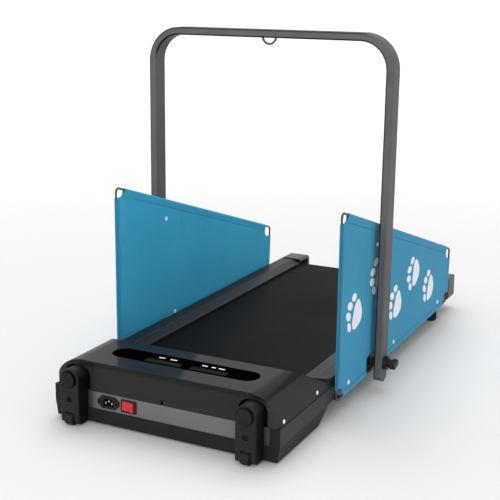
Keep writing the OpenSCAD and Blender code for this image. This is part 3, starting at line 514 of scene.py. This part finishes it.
FINISH = {
    "arch_grey": arch_paint(),
    "frame_black": powder_coat("frame_powder_coat", (0.016, 0.016, 0.017), (0.022, 0.022, 0.023), 0.45),
    "rod_black": powder_coat("rod_paint", (0.034, 0.028, 0.028), (0.05, 0.042, 0.042), 0.4),
    "plate_grey": plate_paint(),
    "steel": turned_metal("turned_steel", (0.6, 0.6, 0.61), 0.28),
    "motor_steel": turned_metal("motor_steel", (0.42, 0.42, 0.44), 0.36),
    "motor_black": powder_coat("motor_paint", (0.014, 0.014, 0.015), (0.02, 0.02, 0.021), 0.4),
    "pin_metal": turned_metal("nickel_pins", (0.85, 0.84, 0.8), 0.2),
    "sink_aluminium": turned_metal("sink_aluminium", (0.75, 0.75, 0.77), 0.35),
    "deck_wood": boards("deck_fibreboard", (0.36, 0.24, 0.13), 0.6, (60, 4, 60)),
    "belt_black": belt_face(),
    "drive_rubber": rubber("drive_rubber", (0.012, 0.012, 0.012), 0.6),
    "foot_rubber": rubber("foot_rubber", (0.016, 0.016, 0.016), 0.7),
    "rail_grey": rail_plastic(),
    "cap_grey": grained_plastic("cap_plastic", (0.042, 0.042, 0.044), (0.052, 0.052, 0.054), 0.5),
    "tray_grey": tray_plastic(),
    "hood_gloss": gloss_hood(),
    "lens_black": lens_gloss(),
    "board_green": boards("circuit_board", (0.02, 0.12, 0.05), 0.4, (300, 300, 300)),
    "black_plastic": grained_plastic("black_plastic", (0.008, 0.008, 0.008), (0.011, 0.011, 0.011),
                                     0.42, 0.2),
    "switch_red": moulded("switch_red", (0.44, 0.009, 0.013), 0.3),
    "white_fastener": moulded("white_moulding", (0.78, 0.8, 0.83), 0.25),
    "leg_grey": leg_plastic(),
    "screw_black": powder_coat("black_screws", (0.003, 0.003, 0.003), (0.005, 0.005, 0.005), 0.3, 0.2),
    "panel_blue": woven("panel_weave", (0.046, 0.255, 0.415), (0.07, 0.332, 0.522)),
}
# Painted light: a paler copy of the same weave for the inner faces of both panels.
LIT_INNER_WEAVE = woven("panel_inner_painted_light", (0.042, 0.37, 0.61), (0.068, 0.475, 0.735))
PRINT = printed("white_print")
THREAD = moulded("stitch_thread", (0.01, 0.06, 0.105), 0.7, 0.2)
MARK = moulded("display_mark", (0.85, 0.87, 0.88), 0.3)
for sub in frame["record"]["subparts"]:
    shown = frame["nodes"][sub["node"]]
    shown.data.materials.clear()
    finish = "arch_grey" if sub["node"] == "arch_plugs" else sub["material_slot"]
    shown.data.materials.append(FINISH[finish])


def line_at(p, q, along):
    """Z on the line through p and q at that Y."""
    return p[1] + (q[1] - p[1]) * (along - p[0]) / (q[0] - p[0])


def edge_steps(seam):
    """Distances from an edge, close together round the rod and at the seam."""
    r = SLEEVE_R
    bend = [r * (1 - math.cos(math.radians(a))) for a in (0, 15, 30, 45, 60, 75, 90)]
    return bend + [r + 2, r + 4] + [seam + d for d in (-3.2, -1.6, -0.7, 0, 0.7, 1.8, 5)]


def sleeve_half(d, seam):
    """Half the thickness of the sleeve at that distance from its edge: round, then flat past the seam."""
    r = SLEEVE_R
    if d < r:
        return math.sqrt(max(0.0, r * r - (r - d) ** 2))
    t = min(1.0, (d - r) / (seam - r))
    h = r + (CLOTH_HALF - r) * t * t * (3 - 2 * t)
    return h - 0.5 * math.exp(-((d - seam) / 0.9) ** 2)


def slack(y, z):
    """The faint pull of the cloth between the rods."""
    return (0.35 * math.sin(y / 41 + 0.4) * math.sin(z / 63 + 1.1)
            + 0.25 * math.sin((y + 0.8 * z) / 29 + 2.0)
            + 0.2 * math.sin((y - 1.3 * z) / 17 + 0.7))


def sleeve_form(side):
    """The two faces of the fabric sleeve as one closed form, before its corners are cut away."""
    a, b, c, d = ROD_AXIS
    r = SLEEVE_R
    slope = (c[1] - d[1]) / (c[0] - d[0])
    lean = math.hypot(1, slope)
    front = a[0] - r

    def low(y): return line_at(a, b, y) - r

    def high(y): return line_at(d, c, y) + r * lean

    near_front, near_rear = edge_steps(SEAMS["front"]), edge_steps(SEAMS["rear"])
    rear_low, rear_high = b[0] + r, c[0] + r
    columns = [(front + s, front + s) for s in near_front]
    y0, y1l, y1h = columns[-1][0], rear_low - near_rear[-1], rear_high - near_rear[-1]
    count = 72
    columns += [(y0 + (y1l - y0) * i / count, y0 + (y1h - y0) * i / count) for i in range(1, count)]
    columns += [(rear_low - s, rear_high - s) for s in reversed(near_rear)]
    near_low, near_top = edge_steps(SEAMS["bottom"]), edge_steps(SEAMS["top"])
    rows = 30
    points = []
    for yb, yt in columns:
        z0, z1 = low(yb), high(yt)
        z_low = [z0 + s for s in near_low]
        z_high = [z1 - s * lean for s in reversed(near_top)]
        mid = [z_low[-1] + (z_high[0] - z_low[-1]) * j / rows for j in range(1, rows)]
        points.append([(yb + (yt - yb) * (z - z0) / (z1 - z0), z) for z in z_low + mid + z_high])
    n, m = len(points), len(points[0])

    def half(y, z):
        ds = {"front": y - front, "bottom": z - low(y), "top": (high(y) - z) / lean,
              "rear": rear_low + (rear_high - rear_low) * (z - b[1]) / (c[1] - b[1]) - y}
        edge = min(ds, key=lambda k: ds[k] / SEAMS[k])
        return sleeve_half(max(0.0, ds[edge]), SEAMS[edge])

    corners, faces = [], []
    index = {}
    for face in (1, -1):
        for i in range(n):
            for j in range(m):
                rim = i in (0, n - 1) or j in (0, m - 1)
                if rim and face < 0:
                    index[face, i, j] = index[1, i, j]
                    continue
                y, z = points[i][j]
                inner = min(1.0, min(i, j, n - 1 - i, m - 1 - j) / 16)
                x = PANEL_X + face * (0 if rim else half(y, z)) + inner * slack(y, z)
                index[face, i, j] = len(corners)
                corners.append((side * x * MM, y * MM, z * MM))
    for face in (1, -1):
        for i in range(n - 1):
            for j in range(m - 1):
                ring = [index[face, i + di, j + dj] for di, dj in ((0, 0), (1, 0), (1, 1), (0, 1))]
                faces.append(ring if face * side > 0 else ring[::-1])
    mesh = bpy.data.meshes.new("sleeve")
    mesh.from_pydata(corners, [], faces)
    mesh.update()
    sleeve = bpy.data.objects.new("sleeve", mesh)
    bpy.context.scene.collection.objects.link(sleeve)
    return sleeve


def soft_cutter(side, middle, size, radius, steps):
    """A block through the panel, size in Y and Z, its four edges along X rounded."""
    clear_selection()
    y, z = middle
    bpy.ops.mesh.primitive_cube_add(size=1, location=(side * PANEL_X * MM, y * MM, z * MM))
    block = started("cutter")
    block.scale = (0.06, size[0] * MM, size[1] * MM)
    settle(block)
    soft = block.modifiers.new("soft", "BEVEL")
    soft.width, soft.segments, soft.limit_method = radius * MM, steps, "WEIGHT"
    weights = block.data.attributes.new("bevel_weight_edge", "FLOAT", "EDGE")
    for e in block.data.edges:
        ends = [block.data.vertices[v].co.x for v in e.vertices]
        weights.data[e.index].value = 1.0 if abs(ends[0] - ends[1]) > 0.01 else 0.0
    apply_all(block)
    return block


def corner_cutter(side):
    """Soft-cornered cutters at the four corners and round the arch bracket."""
    made = [soft_cutter(side, corner, (2 * CUT_LONG, 2 * CUT_TALL), CUT_SOFT, 16)
            for corner in PANEL_CORNERS]
    y0, y1, z1 = NOTCH
    made.append(soft_cutter(side, ((y0 + y1) / 2, z1 - 40), (y1 - y0, 80), 9, 6))
    cutter = joined(made, "corner_cutter")
    settle(cutter)
    return cutter


CUT_FACE = bpy.data.materials.new("cut_face")


def fabric_panel(name, side):
    """A sleeve of woven fabric over the rod frame, its corners cut out, its rod pockets hollow."""
    sleeve = sleeve_form(side)
    sleeve.data.materials.append(FINISH["panel_blue"])
    cutter = corner_cutter(side)
    cutter.data.materials.clear()
    cutter.data.materials.append(CUT_FACE)
    pick(sleeve)
    trim = sleeve.modifiers.new("corners", "BOOLEAN")
    trim.object, trim.operation, trim.solver = cutter, "DIFFERENCE", "EXACT"
    trim.material_mode = "TRANSFER"
    apply_all(sleeve)
    bpy.data.objects.remove(cutter)
    cut = sleeve.data.materials.find("cut_face")
    select_faces(sleeve, lambda face: face.material_index == cut)
    bpy.ops.mesh.delete(type="FACE")
    bpy.ops.mesh.select_all(action="SELECT")
    bpy.ops.mesh.remove_doubles(threshold=0.000002)
    leave_edit()
    for face in sleeve.data.polygons:
        face.material_index = 0
    wall = sleeve.modifiers.new("cloth", "SOLIDIFY")
    wall.thickness, wall.offset = CLOTH_THICK * MM, -1.0
    apply_all(sleeve)
    smooth(sleeve, 50)
    sleeve.name = sleeve.data.name = name
    return sleeve


def stitch_row(p, q):
    """Places of the stitches on a straight seam from p to q."""
    long = math.dist(p, q)
    count = int(long / STITCH_PITCH)
    turn = math.atan2(q[1] - p[1], q[0] - p[0])
    return [(p[0] + (q[0] - p[0]) * (k + 0.5) / count, p[1] + (q[1] - p[1]) * (k + 0.5) / count, turn)
            for k in range(count)]


def panel_stitching(name, side):
    """Short raised stitches along the four seams, on both faces of the panel."""
    a, b, c, d = ROD_AXIS
    r = SLEEVE_R
    lean = math.hypot(1, (c[1] - d[1]) / (c[0] - d[0]))
    yf, gap, rise_gap = a[0] - r + SEAMS["front"], CUT_LONG + 3, CUT_TALL + 3

    def low(y): return line_at(a, b, y) - r + SEAMS["bottom"]

    def high(y): return line_at(d, c, y) + (r - SEAMS["top"]) * lean

    rows = stitch_row((yf, a[1] + rise_gap), (yf, d[1] - rise_gap))
    for y0, y1 in ((a[0] + gap, NOTCH[0] - 3), (NOTCH[1] + 3, b[0] - gap)):
        rows += stitch_row((y0, low(y0)), (y1, low(y1)))
    yr = [b[0] + r - SEAMS["rear"], c[0] + r - SEAMS["rear"]]
    rise = (yr[1] - yr[0]) / (c[1] - b[1])
    rows += stitch_row((yr[0] + rise * rise_gap, b[1] + rise_gap),
                       (yr[1] - rise * rise_gap, c[1] - rise_gap))
    rows += stitch_row((d[0] + gap - 6, high(d[0] + gap - 6)), (c[0] - gap + 6, high(c[0] - gap + 6)))
    clear_selection()
    bpy.ops.mesh.primitive_cylinder_add(vertices=6, radius=STITCH_R * MM, depth=STITCH_LONG * MM,
                                        rotation=(math.pi / 2, 0, 0))
    stitch = started(name)
    settle(stitch)
    select_faces(stitch, lambda face: abs(face.normal.y) > 0.9)
    bpy.ops.mesh.inset(thickness=0.12 * MM)
    bpy.ops.mesh.extrude_region_shrink_fatten(TRANSFORM_OT_shrink_fatten={"value": 0.25 * MM})
    leave_edit()
    places = []
    for y, z, turn in rows:
        for face in (1, -1):
            x = PANEL_X + slack(y, z) + face * (CLOTH_HALF - 0.5 + 0.12)
            places.append(at(side * x, y, z) @ Matrix.Rotation(turn, 4, "X"))
    stitching = copies(stitch, places)
    smooth(stitching, 60)
    return stitching


def ring_profile(name, steps):
    """A round piece about X, spun from points (distance along X, radius)."""
    clear_selection()
    bpy.ops.mesh.primitive_circle_add(vertices=32, radius=steps[0][1] * MM, fill_type="NGON",
                                      rotation=(0, math.pi / 2, 0), location=(steps[0][0] * MM, 0, 0))
    piece = started(name)
    settle(piece)
    bpy.ops.object.mode_set(mode="EDIT")
    bpy.ops.mesh.select_all(action="SELECT")
    for (x0, r0), (x1, r1) in zip(steps, steps[1:]):
        bpy.ops.mesh.extrude_region_move(TRANSFORM_OT_translate={"value": ((x1 - x0) * MM, 0, 0)})
        bpy.ops.transform.resize(value=(1, r1 / r0, r1 / r0), center_override=(x1 * MM, 0, 0))
    bpy.ops.mesh.select_all(action="SELECT")
    bpy.ops.mesh.normals_make_consistent(inside=False)
    leave_edit()
    return piece


def snap_fasteners():
    """Domed caps with a rolled rim on both faces of each panel."""
    cap = ring_profile("snap_caps", [(0, 5.0), (0.55, 5.0), (0.95, 4.7), (1.1, 4.2), (1.0, 3.6),
                                     (0.9, 3.3), (1.15, 2.9), (1.4, 2.0), (1.5, 0.9)])
    places = []
    for side in (1, -1):
        for y, z in SNAPS:
            for face in (1, -1):
                x = PANEL_X + slack(y, z) + face * (CLOTH_HALF - 0.1)
                turn = Matrix.Rotation(0 if side * face > 0 else math.pi, 4, "Z")
                places.append(at(side * x, y, z) @ turn)
    caps = copies(cap, places)
    smooth(caps, 40)
    return caps


def hood_screw_heads():
    """Pan heads with a cross recess on both sides of the hood."""
    head = ring_profile("hood_screw_heads", [(0, 4.0), (1.0, 4.0), (1.7, 3.4), (2.1, 2.4), (2.2, 1.2)])
    for turn in (0, math.pi / 2):
        clear_selection()
        bpy.ops.mesh.primitive_cube_add(size=1, location=(2.2 * MM, 0, 0), rotation=(turn, 0, 0))
        slot = started("cross")
        slot.scale = (1.6 * MM, 0.8 * MM, 4.2 * MM)
        settle(slot)
        cut = head.modifiers.new("cross", "BOOLEAN")
        cut.object, cut.operation, cut.solver = slot, "DIFFERENCE", "EXACT"
        apply_all(head)
        bpy.data.objects.remove(slot)
    places = []
    for y, z in zip(SCREW_Y, SCREW_Z):
        right = at(SCREW_SEAT, y, z) @ Matrix.Rotation(0.4 + y, 4, "X")
        places += [right, Matrix.Scale(-1, 4, (1, 0, 0)) @ right]
    heads = copies(head, places)
    smooth(heads, 30)
    return heads


def paw(size):
    """One print: a three-lobed pad and four toes, flat in Y and Z, toes towards -Y."""
    made = []
    pads = [((0, 0), (0.40, 0.46), 0, True)]
    pads += [((-0.50, 0.46), (0.19, 0.125), 0.35, False), ((-0.72, 0.16), (0.21, 0.13), 0.1, False),
             ((-0.72, -0.16), (0.21, 0.13), -0.1, False), ((-0.50, -0.46), (0.19, 0.125), -0.35, False)]
    for (y, z), (ry, rz), turn, lobed in pads:
        clear_selection()
        bpy.ops.mesh.primitive_circle_add(vertices=48, radius=1, fill_type="NGON",
                                          rotation=(0, math.pi / 2, 0))
        pad = started("paw_pad")
        settle(pad)
        if lobed:
            for v in pad.data.vertices:
                angle = math.atan2(v.co.z, v.co.y)
                v.co *= 1 + 0.10 * math.cos(3 * angle) - 0.10 * math.cos(angle) ** 2
        pad.data.transform(Matrix.Translation((0, y, z)) @ Matrix.Rotation(turn, 4, "X")
                           @ Matrix.Diagonal((1, ry, rz, 1)))
        bpy.ops.object.mode_set(mode="EDIT")
        bpy.ops.mesh.select_all(action="SELECT")
        bpy.ops.mesh.poke()
        bpy.ops.mesh.subdivide(number_cuts=3)
        leave_edit()
        made.append(pad)
    print_ = joined(made, "panel_print")
    print_.data.transform(Matrix.Scale(size * MM, 4))
    return print_


def panel_print(panel):
    """A trail of paw prints in white on the outer face of the right panel."""
    trail = [(306, 124, -10), (180, 194, 6), (54, 148, -10), (-72, 250, 8), (-206, 196, -8)]
    places = [at(PANEL_X + 6, y, z) @ Matrix.Rotation(math.radians(turn - 14), 4, "X")
              for y, z, turn in trail]
    print_ = copies(paw(PAW_SIZE), places)
    lay = print_.modifiers.new("lay", "SHRINKWRAP")
    lay.target, lay.wrap_method, lay.wrap_mode = panel, "PROJECT", "ABOVE_SURFACE"
    lay.use_project_x, lay.use_negative_direction, lay.use_positive_direction = True, True, False
    lay.offset = 0.18 * MM
    apply_all(print_)
    select_faces(print_, lambda face: True)
    bpy.ops.mesh.normals_make_consistent(inside=False)
    leave_edit()
    if print_.data.polygons[0].normal.x < 0:
        print_.data.flip_normals()
    film = print_.modifiers.new("film", "SOLIDIFY")
    film.thickness, film.offset = FILM * MM, -1.0
    apply_all(print_)
    smooth(print_, 40)
    return print_


def display_marks():
    """Two and three short pale bars in a row on the display lens."""
    made = []
    for x, wide in ((-50, 13), (-23, 15), (47.4, 12), (66.9, 9), (84.5, 13)):
        clear_selection()
        bpy.ops.mesh.primitive_cube_add(size=1, location=(x * MM, MARK_Y * MM, (LENS_TOP + 0.02) * MM))
        bar = started("display_bar")
        bar.scale = (wide * MM, MARK_TALL * MM, FILM * MM)
        settle(bar)
        soft = bar.modifiers.new("soft", "BEVEL")
        soft.width, soft.segments = 0.06 * MM, 2
        apply_all(bar)
        made.append(bar)
    return joined(made, "display_marks")


for side_name, side in (("left", -1), ("right", 1)):
    panel = fabric_panel(side_name + "_fabric_panel", side)
    put_on(panel, "base", "panel_blue", FINISH["panel_blue"], side_name + "_panel_cover")
    panel.data.materials.append(LIT_INNER_WEAVE)
    # The inner faces take the paler copy of the weave, as painted light.
    for face in panel.data.polygons:
        face.material_index = int(face.normal.x * side < 0)
    stitching = panel_stitching(side_name + "_panel_stitching", side)
    put_on(stitching, "base", "panel_blue", THREAD)
    if side > 0:
        put_on(panel_print(panel), "base", "panel_blue", PRINT)
put_on(snap_fasteners(), "base", "white_fastener", FINISH["white_fastener"], "panel_snaps")
put_on(hood_screw_heads(), "base", "white_fastener", FINISH["white_fastener"], "hood_screws")
put_on(display_marks(), "base", "lens_black", MARK)


# Floor, light and camera, in metres and degrees; the focal length is in pixels of the photo.
FLOOR_WIDE, BACKDROP_R, BACKDROP_TALL = 140, 60, 30
SKY = 0.62
SUNS = (("overhead", 1.3, 50, (0.22, -0.52, -1)), ("front", 2.0, 50, (-0.1, 0.96, -0.2)))
AZIMUTH, ELEVATION, ROLL = (math.radians(a) for a in (26.51, 14.06, 0.67))
CAMERA_AT, FOCAL, PHOTO, SENSOR = (0.9944, -2.1745, 0.8536), 1057.9, 500, 36

clear_selection()
bpy.ops.mesh.primitive_plane_add(size=FLOOR_WIDE, location=(0, 0, 0))
floor = started("floor")
floor_paint = Paint("floor_white", Roughness=0.9, Specular_IOR_Level=0.1)
floor_x, floor_y, _ = floor_paint.axes()
# Painted shadow: the floor is darker round the machine and pales to white away from it.
away = (floor_x * floor_x + floor_y * floor_y) ** 0.5
far = floor_paint.step(away, 0.9, 4.5)
floor_paint.colour(floor_paint.blend(far, (0.8, 0.798, 0.795), (0.97, 0.97, 0.97)))
floor.data.materials.append(floor_paint.material)

clear_selection()
bpy.ops.mesh.primitive_cylinder_add(vertices=96, radius=BACKDROP_R, depth=BACKDROP_TALL,
                                    end_fill_type="NOTHING", location=(0, 0, BACKDROP_TALL / 2))
backdrop = started("backdrop")
backdrop_paint = Paint("backdrop_white", Base_Color=(0, 0, 0, 1), Specular_IOR_Level=0.0,
                       Emission_Color=(1, 1, 1, 1), Emission_Strength=1.04)
backdrop.data.materials.append(backdrop_paint.material)
backdrop.visible_shadow = False

bpy.context.scene.view_settings.view_transform = "Standard"
world = bpy.data.worlds.new("studio")
bpy.context.scene.world = world
world.use_nodes = True
sky = world.node_tree.nodes["Background"]
sky.inputs["Color"].default_value = (1, 1, 1, 1)
sky.inputs["Strength"].default_value = SKY

for name, power, spread, aim in SUNS:
    lamp = bpy.data.lights.new(name, "SUN")
    lamp.energy, lamp.angle = power, math.radians(spread)
    light = bpy.data.objects.new(name, lamp)
    light.rotation_euler = Vector(aim).to_track_quat("-Z", "Y").to_euler()
    bpy.context.scene.collection.objects.link(light)

back = Vector((math.sin(AZIMUTH) * math.cos(ELEVATION), -math.cos(AZIMUTH) * math.cos(ELEVATION),
               math.sin(ELEVATION)))
level = (-back).cross(Vector((0, 0, 1))).normalized()
upward = level.cross(-back)
right_axis = math.cos(ROLL) * level + math.sin(ROLL) * upward
up_axis = -math.sin(ROLL) * level + math.cos(ROLL) * upward
camera = bpy.data.objects.new("camera", bpy.data.cameras.new("camera"))
camera.data.sensor_width = SENSOR
camera.data.lens = SENSOR * FOCAL / PHOTO
camera.data.clip_end = 900
turn = Matrix((right_axis, up_axis, back)).transposed().to_4x4()
camera.matrix_world = Matrix.Translation(CAMERA_AT) @ turn
bpy.context.scene.collection.objects.link(camera)
bpy.context.scene.camera = camera
